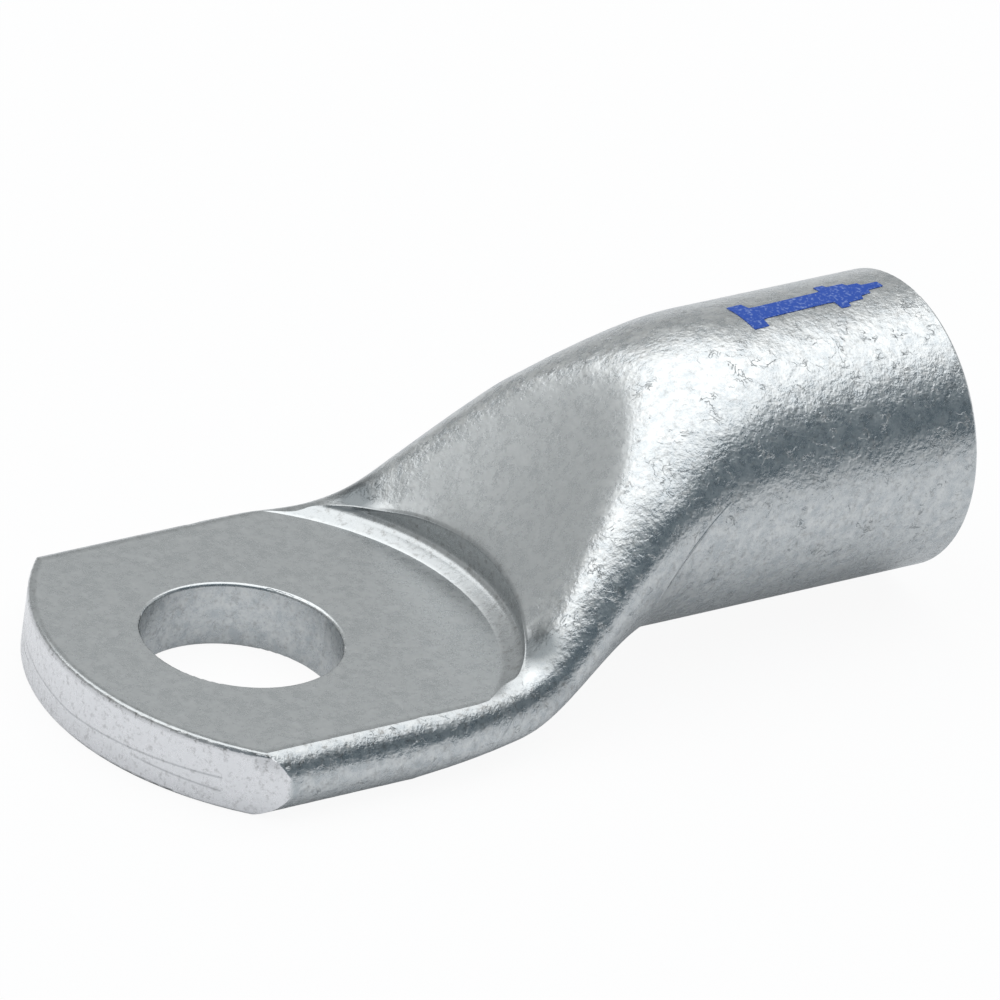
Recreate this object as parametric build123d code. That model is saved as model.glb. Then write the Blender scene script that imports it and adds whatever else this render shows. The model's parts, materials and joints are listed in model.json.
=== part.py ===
from build123d import *
import os
from math import cos, pi, radians, sin, sqrt, tan

# Tubular cable lug, stud size M12, for a 120 mm2 conductor. It is one length of copper tube:
# flattened at one end into a palm, bent up behind the palm, sheared to a rounded end and punched
# for the stud, then tin plated.
# The origin is the centre of the stud hole on the underside of the palm. X runs along the lug to
# the mouth of the barrel, and Z is up. All sizes are in millimetres.

# Barrel, the part of the tube that stays round
barrel_diameter = 19.5
barrel_wall = 2.25
barrel_axis_height = 10.2
mouth_distance = 49.7
mouth_edge_radius = 0.4
mouth_edge_stand = 0.02
mouth_inner_chamfer = 0.35

# Palm, the part that is pressed flat
palm_width = 29.2
palm_thickness = 4.5
palm_edge_breadth = 1.8
press_depth = 0.05
stud_hole_diameter = 13.0
hole_edge_radius = 0.22

# Sheared front end, an arc across the palm
front_distance = 12.65
front_arc_radius = 18.6
front_corner_radius = 1.5
front_side_clearance = 0.02
sheared_edge_radius = 0.3

# Seat for the washer, pressed by a round punch that is centred on the stud hole. The punch has
# a bevelled rim, a small corner and an upright wall.
seat_radius = 16.5
seat_bevel_angle = 19.0
seat_corner_radius = 0.7
seat_rim_breadth = 1.4

# Neck, where the tube opens from the flat palm to the round barrel
neck_start = 4.5
neck_end = 36.0
crest_foot = 14.6
crest_angle = 47.5
crest_foot_radius = 9.0
crest_shoulder_radius = 14.3
width_taper_start = 6.6
width_taper_end = 31.8
side_rise_start = 12.9
side_rise_end = 27.2
facet_start = 9.0
facet_end = 26.2
facet_taper_power = 1.74
underside_start = 0.9
underside_end = 29.7
underside_lift_start = 11.4
underside_lift = 0.8
crease_softness = 0.5

# Dish that the punch for the neck leaves between the two side ridges. It is a wide cone that
# starts from a fold at the top of the seat's wall.
dish_centre = -19.0
dish_slope = 1.13
dish_floor = 5.65
dish_floor_softness = 0.6
fold_height = 7.0
ridge_softness = 0.8

# Cavity, the inside of the tube, which closes behind the palm
bore_end = 33.0
cavity_tip = 19.0
cavity_tip_height = 1.0
cavity_middle = 25.5
cavity_side_wall = 3.3

# Sampling of the neck
station_spacing = 1.25
upper_points = 29
lower_points = 25

barrel_radius = barrel_diameter / 2
bore_radius = barrel_radius - barrel_wall
barrel_top = barrel_axis_height + barrel_radius
palm_half_width = palm_width / 2
flattened_height = palm_thickness + press_depth
palm_middle = palm_thickness / 2
palm_flat = palm_half_width - palm_edge_breadth
seat_wall_radius = seat_radius + seat_rim_breadth
barrel_bottom = barrel_axis_height - barrel_radius
clear = 5.0


def smooth_step(x, start, end):
    """0 before start, 1 after end, and an even S-curve between them."""
    t = min(max((x - start) / (end - start), 0.0), 1.0)
    return t * t * (3 - 2 * t)


def smooth_min(a, b, softness):
    """The lower of two heights, with the corner between them rounded."""
    t = min(max(0.5 + 0.5 * (b - a) / softness, 0.0), 1.0)
    return b + (a - b) * t - softness * t * (1 - t)


def smooth_max(a, b, softness):
    """The higher of two heights, with the corner between them rounded."""
    return -smooth_min(-a, -b, softness)


def crest_height(x):
    """Height of the two side ridges: palm, hollow arc, straight climb, shoulder arc, barrel."""
    slope = tan(radians(crest_angle))
    shoulder_x = crest_foot + (barrel_top - flattened_height) / slope
    foot_reach = crest_foot_radius * tan(radians(crest_angle) / 2)
    shoulder_reach = crest_shoulder_radius * tan(radians(crest_angle) / 2)
    lean = cos(radians(crest_angle))
    if x <= crest_foot - foot_reach:
        return flattened_height
    if x < crest_foot + foot_reach * lean:
        run = x - (crest_foot - foot_reach)
        return flattened_height + crest_foot_radius - sqrt(crest_foot_radius**2 - run**2)
    if x <= shoulder_x - shoulder_reach * lean:
        return flattened_height + slope * (x - crest_foot)
    if x < shoulder_x + shoulder_reach:
        run = shoulder_x + shoulder_reach - x
        return barrel_top - crest_shoulder_radius + sqrt(crest_shoulder_radius**2 - run**2)
    return barrel_top


def half_width(x):
    """Half of the neck's width, from the palm to the barrel."""
    taper = smooth_step(x, width_taper_start, width_taper_end)
    return palm_half_width + (barrel_radius - palm_half_width) * taper


def side_height(x):
    """Height of the widest line of the neck's side."""
    rise = smooth_step(x, side_rise_start, side_rise_end)
    return palm_middle + (barrel_axis_height - palm_middle) * rise


def facet_half_width(x):
    """Half of the flat between the two ridges, which narrows to nothing at the shoulder."""
    t = min(max((x - facet_start) / (facet_end - facet_start), 0.0), 1.0)
    return palm_flat * (1 - t**facet_taper_power)


def underside_half_width(x):
    """Half of the flat underside, which narrows to nothing where the barrel starts."""
    return palm_flat * (1 - smooth_step(x, underside_start, underside_end))


def dish_surface(x, y):
    """Height of the dish, a wide cone that passes through the fold and levels out below it."""
    reach = sqrt((x - dish_centre) ** 2 + y**2)
    cone = fold_height + dish_slope * (reach - (seat_wall_radius - dish_centre))
    return smooth_max(cone, dish_floor, dish_floor_softness)


def upper_height(x, y):
    """Top of the neck: a round ridge on each side, with the dish between them."""
    middle = side_height(x)
    flat = facet_half_width(x)
    share = min(max((abs(y) - flat) / (half_width(x) - flat), 0.0), 1.0)
    ridge = middle + (crest_height(x) - middle) * sqrt(1 - share**2)
    dished = smooth_min(ridge, dish_surface(x, y), ridge_softness)
    fade = smooth_step(ridge, middle, middle + ridge_softness)
    return ridge + (dished - ridge) * fade


def underside_height(x):
    """Height of the flat underside, which lifts until the round of the barrel stands below it."""
    lift = smooth_step(x, underside_lift_start, underside_end)
    return (barrel_bottom + underside_lift + press_depth) * lift - press_depth


def lower_height(x, y):
    """Underside of the neck, which runs into the round barrel at a crease."""
    middle = side_height(x)
    flat = underside_half_width(x)
    share = min(max((abs(y) - flat) / (half_width(x) - flat), 0.0), 1.0)
    neck = middle - (middle - underside_height(x)) * sqrt(1 - share**2)
    if abs(y) >= barrel_radius:
        return neck
    barrel = barrel_axis_height - sqrt(barrel_radius**2 - y**2)
    start = smooth_step(x, side_rise_start, underside_end)
    end = smooth_step(x, underside_end, neck_end)
    joined = neck + (smooth_min(neck, barrel, crease_softness) - neck) * start
    return joined + (barrel - joined) * end


def half_outline(points, rise):
    """A spline over or under the neck. It leaves both of its ends upright, at the given rate."""
    parameters = [i / (len(points) - 1) for i in range(len(points))]
    tangents = [(0, 0, rise), (0, 0, -rise)]
    return Edge.make_spline(points, tangents, parameters=parameters, scale=False)


def outline(x):
    """Closed outline of the neck at one station, as an upper and a lower curve."""
    width = half_width(x)
    middle = side_height(x)
    upper = []
    for i in range(upper_points):
        y = width * cos(pi * i / (upper_points - 1))
        upper.append((x, y, upper_height(x, y)))
    lower = []
    for i in range(lower_points):
        y = -width * cos(pi * i / (lower_points - 1))
        lower.append((x, y, lower_height(x, y)))
    upper[0] = lower[-1] = (x, width, middle)
    upper[-1] = lower[0] = (x, -width, middle)
    climb = (crest_height(x) - middle) * sqrt(width / (width - facet_half_width(x)))
    drop = (middle - underside_height(x)) * sqrt(width / (width - underside_half_width(x)))
    return Wire([half_outline(upper, pi * climb), half_outline(lower, -pi * drop)])


def make_neck():
    """The neck, lofted through its outlines from the palm to the barrel."""
    count = round((neck_end - neck_start) / station_spacing)
    spacing = (neck_end - neck_start) / count
    return Solid.make_loft([outline(neck_start + i * spacing) for i in range(count + 1)])


def make_palm():
    """The flattened tube ahead of the neck, before it is pressed, sheared and punched."""
    length = neck_start + front_distance + clear
    return extrude(Face(outline(neck_start)), length, dir=(-1, 0, 0))


def make_barrel():
    """The round part of the tube. The cut across its mouth leaves a rounded outer edge."""
    barrel = extrude(Face(outline(neck_end)), mouth_distance + clear - neck_end, dir=(1, 0, 0))
    edge = mouth_edge_radius
    rim = barrel_radius + mouth_edge_stand
    with BuildPart() as blank:
        with BuildSketch(Plane.XZ):
            with BuildLine():
                Line((0, 0), (0, rim))
                Line((0, rim), (mouth_distance - edge, rim))
                JernArc((mouth_distance - edge, rim), (1, 0), edge, -90)
                Line((mouth_distance, rim - edge), (mouth_distance, 0))
                Line((mouth_distance, 0), (0, 0))
            make_face()
        revolve(axis=Axis.X)
    return barrel & (Pos(0, 0, barrel_axis_height) * blank.part)


def cavity_section(x, half_breadth, bottom, top):
    """One upright oval of the cavity."""
    plane = Plane(origin=(x, 0, (bottom + top) / 2), x_dir=(0, 1, 0), z_dir=(1, 0, 0))
    return plane * Ellipse(half_breadth, (top - bottom) / 2)


def make_cavity():
    """The inside of the tube: a round bore that flattens to a closed slit in the neck."""
    bore_centre = (bore_end, 0, barrel_axis_height)
    bore_plane = Plane(origin=bore_centre, x_dir=(0, 1, 0), z_dir=(1, 0, 0))
    bore = extrude(bore_plane * Circle(bore_radius), mouth_distance + clear - bore_end)
    ramp_wall = barrel_wall * sqrt(1 + dish_slope**2)
    sections = [
        cavity_section(
            cavity_tip,
            half_width(cavity_tip) - 2 * barrel_wall,
            barrel_wall,
            barrel_wall + cavity_tip_height,
        ),
        cavity_section(
            cavity_middle,
            half_width(cavity_middle) - cavity_side_wall,
            barrel_wall,
            dish_surface(cavity_middle, 0) - ramp_wall,
        ),
        cavity_section(
            bore_end,
            bore_radius,
            barrel_axis_height - bore_radius,
            barrel_axis_height + bore_radius,
        ),
    ]
    mouth_plane = Plane(origin=(mouth_distance, 0, barrel_axis_height), z_dir=(-1, 0, 0))
    mouth = mouth_plane * Cone(
        bore_radius + mouth_inner_chamfer,
        bore_radius,
        mouth_inner_chamfer,
        align=(Align.CENTER, Align.CENTER, Align.MIN),
    )
    return bore + loft(sections) + mouth


def make_seat_punch():
    """The round punch that leaves the flat seat, its bevelled rim and the wall behind it."""
    height = barrel_top + clear
    corner = seat_corner_radius
    bevel = radians(seat_bevel_angle)
    corner_start = seat_wall_radius - corner * (1 - sin(bevel))
    corner_foot = palm_thickness + (corner_start - seat_radius) * tan(bevel)
    corner_top = corner_foot + corner * cos(bevel)
    with BuildPart() as punch:
        with BuildSketch(Plane.XZ):
            with BuildLine():
                Line((0, palm_thickness), (seat_radius, palm_thickness))
                Line((seat_radius, palm_thickness), (corner_start, corner_foot))
                RadiusArc((corner_start, corner_foot), (seat_wall_radius, corner_top), -corner)
                Line((seat_wall_radius, corner_top), (seat_wall_radius, height))
                Line((seat_wall_radius, height), (0, height))
                Line((0, height), (0, palm_thickness))
            make_face()
        revolve(axis=Axis.Z)
    return punch.part


def make_shear():
    """What the shear keeps: an arc across the palm, with rounded corners and rolled edges."""
    arc_centre = front_arc_radius - front_distance
    breadth = palm_width + 2 * front_side_clearance
    corner_x = arc_centre - sqrt(front_arc_radius**2 - (breadth / 2) ** 2)
    with BuildPart() as blank:
        with BuildSketch():
            with Locations((arc_centre, 0)):
                Circle(front_arc_radius)
            Rectangle(4 * front_arc_radius, breadth, mode=Mode.INTERSECT)
            corners = [v for v in vertices() if v.X < corner_x + clear]
            fillet(corners, front_corner_radius)
        extrude(amount=palm_thickness)
        rims = faces().filter_by(Axis.Z)
        fillet(rims.edges(), sheared_edge_radius)
    return blank.part


def make_stud_hole():
    """The punched hole, with both of its rims eased."""
    edge = hole_edge_radius
    rim = stud_hole_diameter / 2
    with BuildPart() as hole:
        with BuildSketch(Plane.XZ):
            with BuildLine():
                Line((0, -clear), (rim + edge, -clear))
                Line((rim + edge, -clear), (rim + edge, 0))
                JernArc((rim + edge, 0), (-1, 0), edge, -90)
                Line((rim, edge), (rim, palm_thickness - edge))
                JernArc((rim, palm_thickness - edge), (0, 1), edge, -90)
                Line((rim + edge, palm_thickness), (rim + edge, palm_thickness + clear))
                Line((rim + edge, palm_thickness + clear), (0, palm_thickness + clear))
                Line((0, palm_thickness + clear), (0, -clear))
            make_face()
        revolve(axis=Axis.Z)
    return hole.part


def make_lug():
    """The whole lug, formed in the order that the tube is worked."""
    tube = make_palm() + make_neck() + make_barrel()
    under = Box(
        2 * mouth_distance + clear,
        palm_width + clear,
        clear,
        align=(Align.CENTER, Align.CENTER, Align.MAX),
    )
    pressed = tube - under - make_seat_punch()
    front = Box(
        front_arc_radius + clear,
        palm_width + clear,
        2 * palm_thickness + clear,
        align=(Align.MAX, Align.CENTER, Align.CENTER),
    )
    sheared = (pressed - front) + (pressed & front & make_shear())
    return sheared - make_stud_hole() - make_cavity()


os.makedirs("parts", exist_ok=True)
lug = make_lug()
export_step(lug, "parts/cable_lug.step")
print("volume", round(lug.volume, 1), "mm3, solids", len(lug.solids()))
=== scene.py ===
import json
from math import cos, radians, sin

import bmesh
import bpy
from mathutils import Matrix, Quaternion, Vector

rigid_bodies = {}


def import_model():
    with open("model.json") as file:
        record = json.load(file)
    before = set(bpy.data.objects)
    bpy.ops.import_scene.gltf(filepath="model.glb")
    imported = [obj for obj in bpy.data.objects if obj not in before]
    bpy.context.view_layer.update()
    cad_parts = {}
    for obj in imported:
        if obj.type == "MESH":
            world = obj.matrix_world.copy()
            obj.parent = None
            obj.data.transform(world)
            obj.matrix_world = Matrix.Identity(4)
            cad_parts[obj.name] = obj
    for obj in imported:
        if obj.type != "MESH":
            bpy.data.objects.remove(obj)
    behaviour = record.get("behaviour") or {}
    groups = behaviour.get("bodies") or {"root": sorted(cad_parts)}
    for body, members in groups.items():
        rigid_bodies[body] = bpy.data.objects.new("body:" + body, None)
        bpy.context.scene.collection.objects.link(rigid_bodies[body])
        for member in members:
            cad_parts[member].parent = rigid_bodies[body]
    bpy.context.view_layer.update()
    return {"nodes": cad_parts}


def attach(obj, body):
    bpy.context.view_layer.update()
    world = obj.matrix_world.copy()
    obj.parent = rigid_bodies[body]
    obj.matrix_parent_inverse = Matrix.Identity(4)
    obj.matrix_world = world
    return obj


for leftover in list(bpy.data.objects):
    bpy.data.objects.remove(leftover)
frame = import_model()
scene = bpy.context.scene
scene.view_settings.view_transform = "Standard"


# Camera
# A long lens one metre away, on the palm's side of the lug and a little above it, and tipped
# so that the barrel climbs across the picture.
view_centre = Vector((0.014915, -0.005193, 0.013912))
view_back = Vector((-0.54218, -0.69115, 0.47786)).normalized()
view_distance = 1.0
view_roll = radians(8.1)
camera_data = bpy.data.cameras.new("camera")
camera_data.sensor_width = 36.0
camera_data.lens = 570.1
camera_data.clip_start = 0.05
camera = bpy.data.objects.new("camera", camera_data)
camera.location = view_centre + view_back * view_distance
camera.rotation_mode = "QUATERNION"
camera.rotation_quaternion = view_back.to_track_quat("Z", "Y") @ Quaternion((0, 0, 1), view_roll)
scene.collection.objects.link(camera)
scene.camera = camera


# Studio
# A white table under one large soft box, in a room that is pale behind the lug and dark on the
# camera's side. The room is white along the horizon, so the table has no visible end.
def linear_colour(hex_code):
    """An sRGB hex colour as the linear colour that a shader takes."""
    channels = []
    for i in (1, 3, 5):
        value = int(hex_code[i : i + 2], 16) / 255
        channels.append(value / 12.92 if value <= 0.04045 else ((value + 0.055) / 1.055) ** 2.4)
    return (*channels, 1.0)


def add_node(tree, kind, links=None, **settings):
    """A new node. A key is a socket's name, or its place among those in use, and what it gets is
    a value, an output, or a node whose first output in use is joined to it."""
    node = tree.nodes.new(kind)
    for name, value in settings.items():
        setattr(node, name, value)
    in_use = [socket for socket in node.inputs if socket.enabled]
    for key, value in (links or {}).items():
        socket = in_use[key] if isinstance(key, int) else node.inputs[key]
        if isinstance(value, bpy.types.Node):
            value = next(output for output in value.outputs if output.enabled)
        if isinstance(value, bpy.types.NodeSocket):
            tree.links.new(value, socket)
        else:
            socket.default_value = value
    return node


dark_wall = linear_colour("#6b7880")
pale_wall = linear_colour("#bec0c0")
room = bpy.data.worlds.new("room")
room.use_nodes = True
tree = room.node_tree
tree.nodes.clear()
direction = add_node(tree, "ShaderNodeTexCoord").outputs["Generated"]
heading = add_node(tree, "ShaderNodeSeparateXYZ", {0: direction})
behind = add_node(
    tree,
    "ShaderNodeMapRange",
    {0: heading.outputs["Y"], 1: -0.65, 2: 0.15},
    interpolation_type="SMOOTHSTEP",
)
walls = add_node(tree, "ShaderNodeMix", {0: behind, 1: dark_wall, 2: pale_wall}, data_type="RGBA")
above_horizon = add_node(
    tree,
    "ShaderNodeMapRange",
    {0: heading.outputs["Z"], 1: 0.02, 2: 0.05},
    interpolation_type="SMOOTHSTEP",
)
whole_room = add_node(
    tree, "ShaderNodeMix", {0: above_horizon, 1: linear_colour("#ffffff"), 2: walls}, data_type="RGBA"
)
shine = add_node(tree, "ShaderNodeBackground", {0: whole_room, 1: 1.0})
add_node(tree, "ShaderNodeOutputWorld", {0: shine})
scene.world = room

box_data = bpy.data.lights.new("soft_box", "AREA")
box_data.shape = "RECTANGLE"
box_data.size = 2.15
box_data.size_y = 1.42
box_data.energy = 13.4
soft_box = bpy.data.objects.new("soft_box", box_data)
soft_box.location = (0.05, 0.27, 1.0)
soft_box.rotation_euler = (0, 0, radians(-38.1))
scene.collection.objects.link(soft_box)

# The table lies a hair below the lug, so that its face and the palm's don't share one plane.
table_reach = 3.0
table_gap = 0.00002
table = bpy.data.meshes.new("table")
shape = bmesh.new()
bmesh.ops.create_grid(shape, x_segments=1, y_segments=1, size=table_reach)
shape.to_mesh(table)
shape.free()
floor = bpy.data.objects.new("floor", table)
floor.location.z = -table_gap
scene.collection.objects.link(floor)

# White paper: matt and even. The camera sees it almost as bare white, with a faint shadow.
seen_share = 0.93
reflected_share = 0.15
paper = bpy.data.materials.new("white_paper")
paper.use_nodes = True
tree = paper.node_tree
tree.nodes.clear()
lit = add_node(
    tree,
    "ShaderNodeBsdfPrincipled",
    {"Base Color": linear_colour("#e9eaec"), "Roughness": 0.9, "Specular IOR Level": 0.2},
)
bare = add_node(tree, "ShaderNodeEmission", {"Color": (1, 1, 1, 1), "Strength": 1.0})
ray = add_node(tree, "ShaderNodeLightPath")
mirrored = add_node(
    tree,
    "ShaderNodeMath",
    {0: ray.outputs["Is Glossy Ray"], 1: ray.outputs["Is Transmission Ray"]},
    operation="MAXIMUM",
)
mirrored_share = add_node(
    tree, "ShaderNodeMath", {0: mirrored, 1: reflected_share}, operation="MULTIPLY"
)
share = add_node(
    tree,
    "ShaderNodeMath",
    {0: ray.outputs["Is Camera Ray"], 1: seen_share, 2: mirrored_share},
    operation="MULTIPLY_ADD",
)
sheet = add_node(tree, "ShaderNodeMixShader", {0: share, 1: lit, 2: bare})
add_node(tree, "ShaderNodeOutputMaterial", {0: sheet})
table.materials.append(paper)


# Lug
# One length of copper tube, pressed, bent, sheared and punched, then tin plated in a turning drum.
# The dies leave the seat and the dish smooth. The tumbling dents the rest finely, so that its
# highlights break up into bright and grey grains.

# All sizes are in millimetres, here and in the nodes below.
palm_thickness = 4.5
palm_half_width = 14.6
hole_radius = 6.5
seat_radius = 16.5
fold_radius = 17.9
fold_height = 7.0
dish_centre = -19.0
dish_slope = 1.13
dish_corner = (15.6, 10.4, 5.8)
barrel_axis = 10.2
barrel_radius = 9.75
crease_foot = 24.75
crease_foot_height = 6.3
crease_bend = 0.13
crease_inner_side = 6.0
crease_top_height = 13.0
front_arc_centre = 5.95
front_arc_radius = 18.6
front_start = -5.5
upper_seam_height = 1.58
upper_seam_slope = 0.052
lower_seam_height = 1.63
lower_seam_slope = -0.034
lower_seam_start = 5.5
seam_end = 11.4
wave_size = 2.6
dented_wave_depth = 0.11
pressed_wave_depth = 0.015
grain_size = 0.36
dented_grain_depth = 0.052
pressed_grain_depth = 0.01
nick_size = 1.1
nick_patch_size = 1.4
nick_depth = 0.025
groove_depth = 0.02
crease_rise = 0.05
cloud_size = 0.8
speck_size = 0.45

lug = frame["nodes"]["cable_lug"]
tin = bpy.data.materials.new("tumbled_tin_plate")
tin.use_nodes = True
tree = tin.node_tree
tree.nodes.clear()
place = add_node(tree, "ShaderNodeTexCoord").outputs["Object"]
point = add_node(tree, "ShaderNodeVectorMath", {0: place, 1: (1000, 1000, 1000)}, operation="MULTIPLY")
axes = add_node(tree, "ShaderNodeSeparateXYZ", {0: point})
x, y, z = axes.outputs

# Where the dies pressed it smooth: the seat with its rim, the dish, which is close to the cone
# that its punch leaves, and the flat underside.
in_plan = add_node(tree, "ShaderNodeCombineXYZ", {0: x, 1: y, 2: 0.0})
from_hole = add_node(tree, "ShaderNodeVectorMath", {0: in_plan}, operation="LENGTH")
in_circle = add_node(
    tree, "ShaderNodeMapRange", {0: from_hole, 1: fold_radius, 2: fold_radius + 0.4, 3: 1.0, 4: 0.0}
)
on_top = add_node(tree, "ShaderNodeMapRange", {0: z, 1: palm_thickness - 0.1, 2: palm_thickness - 0.02})
seat = add_node(tree, "ShaderNodeMath", {0: in_circle, 1: on_top}, operation="MULTIPLY")
from_dish_centre = add_node(
    tree, "ShaderNodeVectorMath", {0: in_plan, 1: (dish_centre, 0, 0)}, operation="DISTANCE"
)
cone = add_node(
    tree,
    "ShaderNodeMath",
    {0: from_dish_centre, 1: dish_slope, 2: fold_height - dish_slope * (fold_radius - dish_centre)},
    operation="MULTIPLY_ADD",
)
over_cone = add_node(tree, "ShaderNodeMath", {0: z, 1: cone}, operation="SUBTRACT")
off_cone = add_node(tree, "ShaderNodeMath", {0: over_cone}, operation="ABSOLUTE")
dish = add_node(tree, "ShaderNodeMapRange", {0: off_cone, 1: 0.03, 2: 0.35, 3: 1.0, 4: 0.0})
underside = add_node(tree, "ShaderNodeMapRange", {0: z, 1: 0.02, 2: 0.2, 3: 1.0, 4: 0.0})
pressed_top = add_node(tree, "ShaderNodeMath", {0: seat, 1: dish}, operation="MAXIMUM")
pressed = add_node(tree, "ShaderNodeMath", {0: pressed_top, 1: underside}, operation="MAXIMUM")

# Where it was cut: the sheared front end and the wall of the hole.
from_arc_centre = add_node(
    tree, "ShaderNodeVectorMath", {0: in_plan, 1: (front_arc_centre, 0, 0)}, operation="DISTANCE"
)
near_front = add_node(
    tree,
    "ShaderNodeMapRange",
    {0: from_arc_centre, 1: front_arc_radius - 0.12, 2: front_arc_radius - 0.02},
)
ahead = add_node(tree, "ShaderNodeMapRange", {0: x, 1: front_start + 0.2, 2: front_start - 0.2})
front = add_node(tree, "ShaderNodeMath", {0: near_front, 1: ahead}, operation="MULTIPLY")
hole = add_node(
    tree,
    "ShaderNodeMapRange",
    {0: from_hole, 1: hole_radius + 0.05, 2: hole_radius + 0.2, 3: 1.0, 4: 0.0},
)
cut = add_node(tree, "ShaderNodeMath", {0: front, 1: hole}, operation="MAXIMUM")
finished = add_node(tree, "ShaderNodeMath", {0: pressed, 1: cut}, operation="MAXIMUM")

# Dents of the tumbling: broad waves, and a grain of a third of a millimetre.
waves = add_node(tree, "ShaderNodeTexNoise", {"Vector": point, "Scale": 1 / wave_size, "Detail": 1.0})
wave = add_node(tree, "ShaderNodeMath", {0: waves, 1: 0.5}, operation="SUBTRACT")
grains = add_node(
    tree,
    "ShaderNodeTexNoise",
    {"Vector": point, "Scale": 1 / grain_size, "Detail": 3.0, "Roughness": 0.6},
)
grain = add_node(tree, "ShaderNodeMath", {0: grains, 1: 0.5}, operation="SUBTRACT")
wave_depth = add_node(
    tree, "ShaderNodeMapRange", {0: finished, 3: dented_wave_depth, 4: pressed_wave_depth}
)
grain_depth = add_node(
    tree, "ShaderNodeMapRange", {0: finished, 3: dented_grain_depth, 4: pressed_grain_depth}
)
wave_height = add_node(tree, "ShaderNodeMath", {0: wave, 1: wave_depth}, operation="MULTIPLY")
dent_height = add_node(
    tree, "ShaderNodeMath", {0: grain, 1: grain_depth, 2: wave_height}, operation="MULTIPLY_ADD"
)

# Curled nicks, about a tenth of a millimetre wide, from lugs that rubbed together in the drum.
swirl = add_node(
    tree,
    "ShaderNodeTexNoise",
    {"Vector": point, "Scale": 1 / nick_size, "Detail": 3.0, "Roughness": 0.6, "Distortion": 0.7},
)
over_line = add_node(tree, "ShaderNodeMath", {0: swirl, 1: 0.5}, operation="SUBTRACT")
off_line = add_node(tree, "ShaderNodeMath", {0: over_line}, operation="ABSOLUTE")
line = add_node(tree, "ShaderNodeMapRange", {0: off_line, 1: 0.004, 2: 0.02, 3: 1.0, 4: 0.0})
scatter = add_node(
    tree, "ShaderNodeTexNoise", {"Vector": point, "Scale": 1 / nick_patch_size, "Detail": 2.0}
)
patches = add_node(tree, "ShaderNodeMapRange", {0: scatter, 1: 0.53, 2: 0.66})
curls = add_node(tree, "ShaderNodeMath", {0: line, 1: patches}, operation="MULTIPLY")
nick_share = add_node(tree, "ShaderNodeMapRange", {0: finished, 3: 1.0, 4: 0.06})
nicks = add_node(tree, "ShaderNodeMath", {0: curls, 1: nick_share}, operation="MULTIPLY")

# The seam on the front end, where the flattened tube's walls meet and part again at each side.
from_middle = add_node(tree, "ShaderNodeMath", {0: y}, operation="ABSOLUTE")
upper_seam = add_node(
    tree,
    "ShaderNodeMath",
    {0: from_middle, 1: upper_seam_slope, 2: upper_seam_height},
    operation="MULTIPLY_ADD",
)
over_upper = add_node(tree, "ShaderNodeMath", {0: z, 1: upper_seam}, operation="SUBTRACT")
off_upper = add_node(tree, "ShaderNodeMath", {0: over_upper}, operation="ABSOLUTE")
upper_line = add_node(tree, "ShaderNodeMapRange", {0: off_upper, 1: 0.0, 2: 0.1, 3: 1.0, 4: 0.0})
lower_seam = add_node(
    tree,
    "ShaderNodeMath",
    {0: from_middle, 1: lower_seam_slope, 2: lower_seam_height},
    operation="MULTIPLY_ADD",
)
over_lower = add_node(tree, "ShaderNodeMath", {0: z, 1: lower_seam}, operation="SUBTRACT")
off_lower = add_node(tree, "ShaderNodeMath", {0: over_lower}, operation="ABSOLUTE")
lower_line = add_node(tree, "ShaderNodeMapRange", {0: off_lower, 1: 0.0, 2: 0.1, 3: 1.0, 4: 0.0})
lower_part = add_node(
    tree, "ShaderNodeMapRange", {0: from_middle, 1: lower_seam_start, 2: lower_seam_start + 1.5}
)
lower_seen = add_node(tree, "ShaderNodeMath", {0: lower_line, 1: lower_part}, operation="MULTIPLY")
seam_lines = add_node(tree, "ShaderNodeMath", {0: upper_line, 1: lower_seen}, operation="MAXIMUM")
seam_reach = add_node(
    tree, "ShaderNodeMapRange", {0: from_middle, 1: seam_end, 2: seam_end + 0.1, 3: 1.0, 4: 0.0}
)
seam_part = add_node(tree, "ShaderNodeMath", {0: seam_lines, 1: seam_reach}, operation="MULTIPLY")
seam = add_node(tree, "ShaderNodeMath", {0: seam_part, 1: front}, operation="MULTIPLY")

# The fold along the top of the seat's wall, and the crease where the neck runs into the barrel.
behind_wall = add_node(tree, "ShaderNodeMath", {0: from_hole, 1: fold_radius}, operation="SUBTRACT")
off_wall = add_node(tree, "ShaderNodeMath", {0: behind_wall}, operation="ABSOLUTE")
near_wall = add_node(tree, "ShaderNodeMapRange", {0: off_wall, 1: 0.04, 2: 0.18, 3: 1.0, 4: 0.0})
near_cone = add_node(tree, "ShaderNodeMapRange", {0: off_cone, 1: 0.04, 2: 0.18, 3: 1.0, 4: 0.0})
fold = add_node(tree, "ShaderNodeMath", {0: near_wall, 1: near_cone}, operation="MULTIPLY")
over_crease_foot = add_node(tree, "ShaderNodeMath", {0: z, 1: crease_foot_height}, operation="SUBTRACT")
crease_bow = add_node(
    tree, "ShaderNodeMath", {0: over_crease_foot, 1: over_crease_foot}, operation="MULTIPLY"
)
crease_x = add_node(
    tree, "ShaderNodeMath", {0: crease_bow, 1: crease_bend, 2: crease_foot}, operation="MULTIPLY_ADD"
)
past_crease = add_node(tree, "ShaderNodeMath", {0: x, 1: crease_x}, operation="SUBTRACT")
off_crease = add_node(tree, "ShaderNodeMath", {0: past_crease}, operation="ABSOLUTE")
crease_line = add_node(tree, "ShaderNodeMapRange", {0: off_crease, 1: 0.03, 2: 0.16, 3: 1.0, 4: 0.0})
crease_side = add_node(
    tree, "ShaderNodeMapRange", {0: from_middle, 1: crease_inner_side, 2: crease_inner_side + 1.5}
)
crease_top = add_node(
    tree,
    "ShaderNodeMapRange",
    {0: z, 1: crease_top_height - 2.5, 2: crease_top_height, 3: 1.0, 4: 0.0},
)
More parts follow.
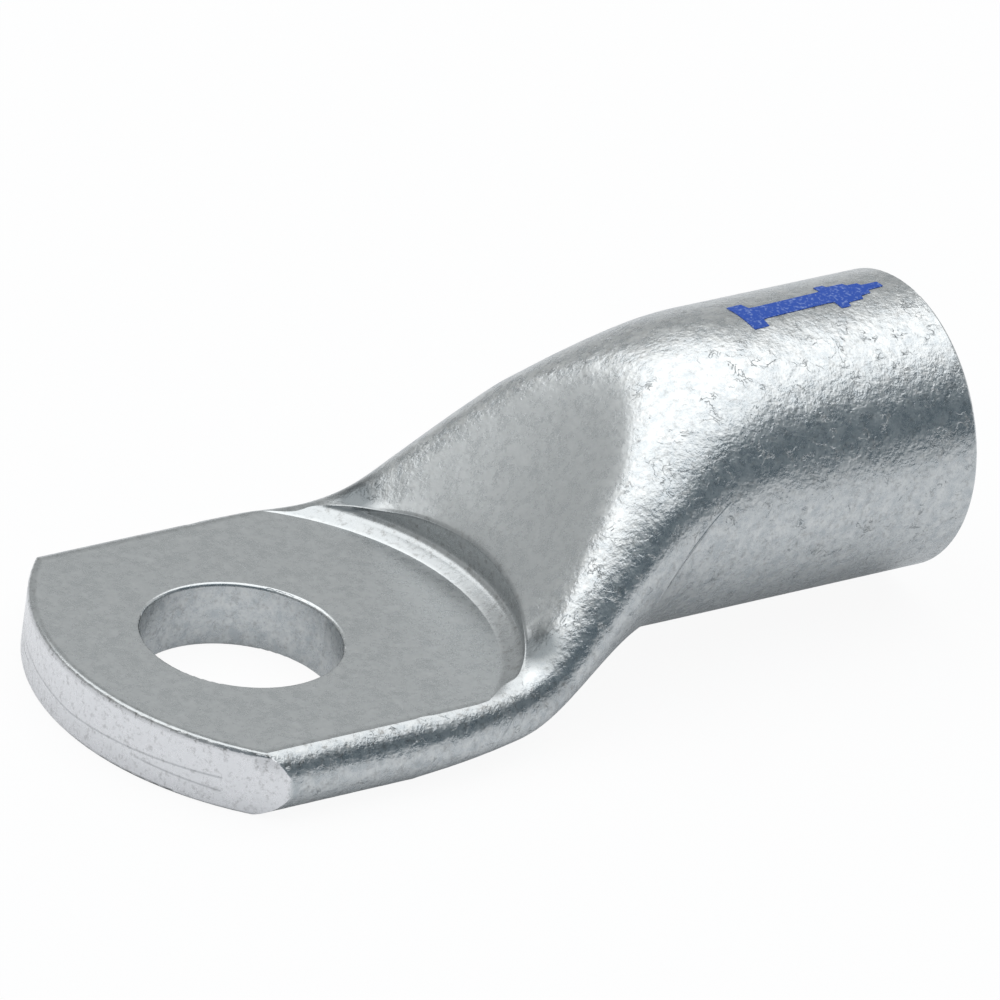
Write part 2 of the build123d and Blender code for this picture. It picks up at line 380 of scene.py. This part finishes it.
crease_part = add_node(tree, "ShaderNodeMath", {0: crease_line, 1: crease_side}, operation="MULTIPLY")
crease = add_node(tree, "ShaderNodeMath", {0: crease_part, 1: crease_top}, operation="MULTIPLY")

# All of these as one relief, which the bump turns from millimetres to metres.
grooves = add_node(tree, "ShaderNodeMath", {0: seam, 1: fold}, operation="MAXIMUM")
nicked_height = add_node(
    tree, "ShaderNodeMath", {0: nicks, 1: -nick_depth, 2: dent_height}, operation="MULTIPLY_ADD"
)
grooved_height = add_node(
    tree, "ShaderNodeMath", {0: grooves, 1: -groove_depth, 2: nicked_height}, operation="MULTIPLY_ADD"
)
height = add_node(
    tree, "ShaderNodeMath", {0: crease, 1: crease_rise, 2: grooved_height}, operation="MULTIPLY_ADD"
)
dents = add_node(tree, "ShaderNodeBump", {"Height": height, "Strength": 1.0, "Distance": 0.001})

# The two corners in which the dish runs out against the seat's wall, where the colour is
# darkened as painted shade.
half_point = add_node(tree, "ShaderNodeCombineXYZ", {0: x, 1: from_middle, 2: z})
from_corner = add_node(
    tree, "ShaderNodeVectorMath", {0: half_point, 1: dish_corner}, operation="DISTANCE"
)
in_corner = add_node(tree, "ShaderNodeMapRange", {0: from_corner, 1: 0.9, 2: 2.3, 3: 1.0, 4: 0.0})
past_wall = add_node(tree, "ShaderNodeMapRange", {0: behind_wall, 1: 0.0, 2: 0.1})
corner_part = add_node(tree, "ShaderNodeMath", {0: in_corner, 1: past_wall}, operation="MULTIPLY")
painted_corner_shade = add_node(tree, "ShaderNodeMath", {0: corner_part, 1: 0.85}, operation="MULTIPLY")

# The edges that get extra specks and painted shade, which dims their highlights: the upper rim of
# the front end, the shoulders along the palm's sides and the bevelled rim of the seat.
near_rim = add_node(
    tree,
    "ShaderNodeMapRange",
    {0: from_arc_centre, 1: front_arc_radius - 0.6, 2: front_arc_radius - 0.4},
)
rim_top = add_node(tree, "ShaderNodeMapRange", {0: z, 1: palm_thickness - 0.5, 2: palm_thickness - 0.3})
rim_part = add_node(tree, "ShaderNodeMath", {0: near_rim, 1: rim_top}, operation="MULTIPLY")
front_rim = add_node(tree, "ShaderNodeMath", {0: rim_part, 1: ahead}, operation="MULTIPLY")
under_neck = add_node(
    tree,
    "ShaderNodeMapRange",
    {0: z, 1: palm_thickness + 0.2, 2: palm_thickness + 0.4, 3: 1.0, 4: 0.0},
)
over_middle = add_node(
    tree, "ShaderNodeMapRange", {0: z, 1: palm_thickness - 1.3, 2: palm_thickness - 0.6}
)
beside = add_node(
    tree, "ShaderNodeMapRange", {0: from_middle, 1: palm_half_width - 1.9, 2: palm_half_width - 1.6}
)
shoulder_band = add_node(tree, "ShaderNodeMath", {0: under_neck, 1: over_middle}, operation="MULTIPLY")
shoulder = add_node(tree, "ShaderNodeMath", {0: shoulder_band, 1: beside}, operation="MULTIPLY")
past_seat = add_node(tree, "ShaderNodeMapRange", {0: from_hole, 1: seat_radius, 2: seat_radius + 0.3})
seat_rim = add_node(tree, "ShaderNodeMath", {0: past_seat, 1: seat}, operation="MULTIPLY")
palm_edges = add_node(tree, "ShaderNodeMath", {0: front_rim, 1: shoulder}, operation="MAXIMUM")
edges = add_node(tree, "ShaderNodeMath", {0: palm_edges, 1: seat_rim}, operation="MAXIMUM")

# Colour: cool grey tin, faintly clouded, with brown-grey specks and darker nicks and grooves.
# The sheared front end is painted whiter, a painted reflection of the pale table. A dark grey is laid
# on as painted shade in the dish's corners and on the edges.
dark_cloud = linear_colour("#b5babd")
light_cloud = linear_colour("#d2d4d4")
painted_reflection_white = linear_colour("#e6e6e8")
painted_shade_grey = linear_colour("#5a6063")
speck_grey = linear_colour("#8b8a88")
nick_grey = linear_colour("#5d6468")
mottle = add_node(
    tree,
    "ShaderNodeTexNoise",
    {"Vector": point, "Scale": 1 / cloud_size, "Detail": 5.0, "Roughness": 0.75},
)
cloud = add_node(tree, "ShaderNodeMath", {0: mottle, 1: 0.5}, operation="SUBTRACT")
cloud_contrast = add_node(tree, "ShaderNodeMapRange", {0: pressed, 3: 3.6, 4: 0.9})
clouded = add_node(
    tree,
    "ShaderNodeMath",
    {0: cloud, 1: cloud_contrast, 2: 0.5},
    operation="MULTIPLY_ADD",
    use_clamp=True,
)
tone = add_node(tree, "ShaderNodeMix", {0: clouded, 1: dark_cloud, 2: light_cloud}, data_type="RGBA")
# Painted reflection: the front end is whitened, standing in for the pale table that it mirrors.
with_painted_reflection = add_node(tree, "ShaderNodeMix", {0: front, 1: tone, 2: painted_reflection_white}, data_type="RGBA")
speckle = add_node(
    tree,
    "ShaderNodeTexNoise",
    {"Vector": point, "Scale": 1 / speck_size, "Detail": 4.0, "Roughness": 0.75},
)
specks = add_node(tree, "ShaderNodeMapRange", {0: speckle, 1: 0.52, 2: 0.66})
speck_share = add_node(tree, "ShaderNodeMapRange", {0: pressed, 3: 0.38, 4: 0.09})
speck_amount = add_node(
    tree, "ShaderNodeMath", {0: edges, 1: 0.5, 2: speck_share}, operation="MULTIPLY_ADD"
)
specks_seen = add_node(tree, "ShaderNodeMath", {0: specks, 1: speck_amount}, operation="MULTIPLY")
speckled = add_node(tree, "ShaderNodeMix", {0: specks_seen, 1: with_painted_reflection, 2: speck_grey}, data_type="RGBA")
grooves_seen = add_node(tree, "ShaderNodeMath", {0: grooves, 1: 0.35}, operation="MULTIPLY")
nicks_seen = add_node(
    tree, "ShaderNodeMath", {0: nicks, 1: 0.5, 2: grooves_seen}, operation="MULTIPLY_ADD"
)
marked = add_node(tree, "ShaderNodeMix", {0: nicks_seen, 1: speckled, 2: nick_grey}, data_type="RGBA")
# Painted shade: the dish's corners and the edges are darkened towards a dark grey, which also dims the
# highlights on the edges.
edge_shade_share = add_node(tree, "ShaderNodeMath", {0: edges, 1: 0.22}, operation="MULTIPLY")
painted_shade_amount = add_node(tree, "ShaderNodeMath", {0: painted_corner_shade, 1: edge_shade_share}, operation="MAXIMUM")
with_painted_shade = add_node(tree, "ShaderNodeMix", {0: painted_shade_amount, 1: marked, 2: painted_shade_grey}, data_type="RGBA")
sheen = add_node(tree, "ShaderNodeMapRange", {0: mottle, 1: 0.3, 2: 0.7, 3: 0.24, 4: 0.32})
surface = add_node(
    tree,
    "ShaderNodeBsdfPrincipled",
    {"Base Color": with_painted_shade, "Metallic": 1.0, "Roughness": sheen, "Normal": dents},
)
add_node(tree, "ShaderNodeOutputMaterial", {0: surface})
lug.data.materials.clear()
lug.data.materials.append(tin)


# Printed arrow
# A direction arrow in blue ink on top of the barrel, put on by a dot printer, so its edge goes
# in small steps. The film of ink is thin and a little turned off the barrel's line.
dot_length = 0.44
dot_breadth = 0.42
half_rows = [4] * 3 + [2] * 13 + [4, 4, 3, 3, 3, 2, 2, 1, 1, 1]
rows = 2 * max(half_rows)
arrow_start = 36.45
arrow_side = 0.32
arrow_turn = radians(2.0)
ink_thickness = 0.03
spot_size = 0.22

shape = bmesh.new()
bmesh.ops.create_grid(shape, x_segments=len(half_rows), y_segments=rows, size=0.5)
bmesh.ops.scale(shape, vec=(len(half_rows), rows, 1), verts=shape.verts)
bmesh.ops.translate(shape, vec=(len(half_rows) / 2, 0, 0), verts=shape.verts)
blank_cells = []
for cell in shape.faces:
    centre = cell.calc_center_median()
    if abs(centre.y) > half_rows[int(centre.x)]:
        blank_cells.append(cell)
bmesh.ops.delete(shape, geom=blank_cells, context="FACES")
rim = [corner for corner in shape.verts if corner.is_boundary]
bmesh.ops.smooth_vert(shape, verts=rim, factor=0.35, use_axis_x=True, use_axis_y=True)
bmesh.ops.scale(shape, vec=(dot_length, dot_breadth, 1), verts=shape.verts)
film = bmesh.ops.extrude_face_region(shape, geom=shape.faces[:])
top = [part for part in film["geom"] if isinstance(part, bmesh.types.BMVert)]
bmesh.ops.translate(shape, vec=(0, 0, ink_thickness), verts=top)
bmesh.ops.recalc_face_normals(shape, faces=shape.faces)
for corner in shape.verts:
    along = arrow_start + corner.co.x * cos(arrow_turn)
    around = (arrow_side + corner.co.y + corner.co.x * sin(arrow_turn)) / barrel_radius
    reach = barrel_radius + corner.co.z
    corner.co = (along, reach * sin(around), barrel_axis + reach * cos(around))
bmesh.ops.scale(shape, vec=(0.001, 0.001, 0.001), verts=shape.verts)
arrow_mesh = bpy.data.meshes.new("printed_arrow")
shape.to_mesh(arrow_mesh)
shape.free()
arrow = bpy.data.objects.new("printed_arrow", arrow_mesh)
scene.collection.objects.link(arrow)
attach(arrow, "root")

# Printing ink on the tin: a dull blue film, paler in the small spots where it is thin.
ink_blue = linear_colour("#1e4aa6")
thin_blue = linear_colour("#8a9fd0")
ink = bpy.data.materials.new("blue_printing_ink")
ink.use_nodes = True
tree = ink.node_tree
tree.nodes.clear()
place = add_node(tree, "ShaderNodeTexCoord").outputs["Object"]
thin_spots = add_node(
    tree,
    "ShaderNodeTexNoise",
    {"Vector": place, "Scale": 1000 / spot_size, "Detail": 2.0, "Roughness": 0.6},
)
bare_share = add_node(tree, "ShaderNodeMapRange", {0: thin_spots, 1: 0.54, 2: 0.76})
film_colour = add_node(
    tree, "ShaderNodeMix", {0: bare_share, 1: ink_blue, 2: thin_blue}, data_type="RGBA"
)
unevenness = add_node(
    tree, "ShaderNodeBump", {"Height": thin_spots, "Strength": 1.0, "Distance": 0.00002}
)
film_surface = add_node(
    tree,
    "ShaderNodeBsdfPrincipled",
    {
        "Base Color": film_colour,
        "Roughness": 0.6,
        "Specular IOR Level": 0.3,
        "Normal": unevenness,
    },
)
add_node(tree, "ShaderNodeOutputMaterial", {0: film_surface})
arrow_mesh.materials.append(ink)
